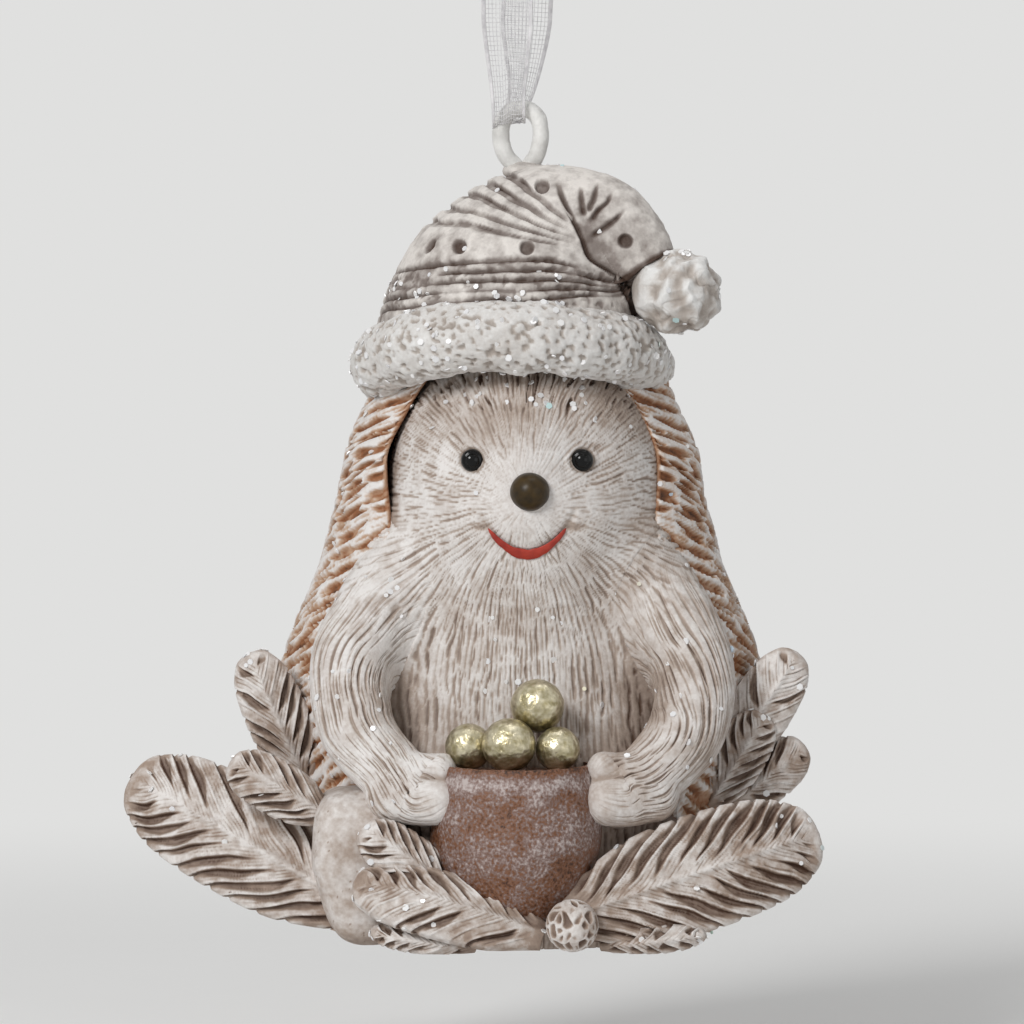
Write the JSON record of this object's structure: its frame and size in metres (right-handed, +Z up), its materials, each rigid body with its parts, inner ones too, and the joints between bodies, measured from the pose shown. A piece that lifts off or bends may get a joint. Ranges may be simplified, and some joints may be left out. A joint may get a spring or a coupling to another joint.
{
  "type": "hanging hedgehog ornament",
  "caption": "Cast hedgehog in a knitted hat holding a bowl of gold berries among fronds, hung from a wire eye on a ribbon loop.",
  "frame": {"origin": "top of the inside of the ribbon loop, where a hook carries it", "axes": "+Z up, the figure faces -Y, +X to the right as seen from the front"},
  "size_m": [0.0698, 0.0475, 0.138],
  "materials": {
    "fur_paint": "cream paint over cast resin, brown wash in the grooves",
    "spine_paint": "cream paint dry-brushed over sienna",
    "hat_paint": "cream paint with a grey-brown wash",
    "white_fur_paint": "white paint with glitter",
    "frond_paint": "white paint over brown",
    "bowl_paint": "sienna paint with a pale wash",
    "gold_leaf": "champagne gold leaf",
    "black_bead": "gloss",
    "olive_bead": "gloss",
    "red_paint": "satin",
    "white_wire": "white paint",
    "organza": "sheer weave"
  },
  "bodies": {
    "ribbon_loop": {"ribbon_front_leg": "organza", "ribbon_back_leg": "organza", "ribbon_knot": "organza", "ribbon_tails": "organza"},
    "ribbon_bight": {"ribbon_bight": "organza"},
    "figure": {"berry_left": "gold_leaf", "berry_middle": "gold_leaf", "berry_right": "gold_leaf", "berry_top": "gold_leaf", "bowl": "bowl_paint", "eyelet": "white_wire", "eyelet_collar": "white_fur_paint", "frond_left_front_lower": "frond_paint", "frond_left_front_upper": "frond_paint", "frond_left_large": "frond_paint", "frond_left_rear": "frond_paint", "frond_left_small": "frond_paint", "frond_left_under": "frond_paint", "frond_right_large": "frond_paint", "frond_right_middle": "frond_paint", "frond_right_rear": "frond_paint", "frond_right_tip": "frond_paint", "frond_right_under": "frond_paint", "hat_band": "white_fur_paint", "hat_crown": "hat_paint", "hat_tip": "hat_paint", "head": "fur_paint", "left_arm": "fur_paint", "left_eye": "black_bead", "left_foot": "white_fur_paint", "mouth": "red_paint", "nose": "olive_bead", "pompom": "white_fur_paint", "right_arm": "fur_paint", "right_eye": "black_bead", "seed_cone": "frond_paint", "spine_coat": "spine_paint", "torso": "fur_paint"}
  },
  "joints": [
    {"name": "ribbon_sway", "type": "hinge", "parent": "ribbon_loop", "child": "ribbon_bight", "pos_m": [0, 0, -0.033], "axis": [0, 1, 0], "range_deg": [-45, 45]},
    {"name": "ribbon_swing", "type": "hinge", "parent": "ribbon_bight", "child": "figure", "pos_m": [0, 0, -0.0365], "axis": [1, 0, 0], "range_deg": [-90, 90]}
  ]
}
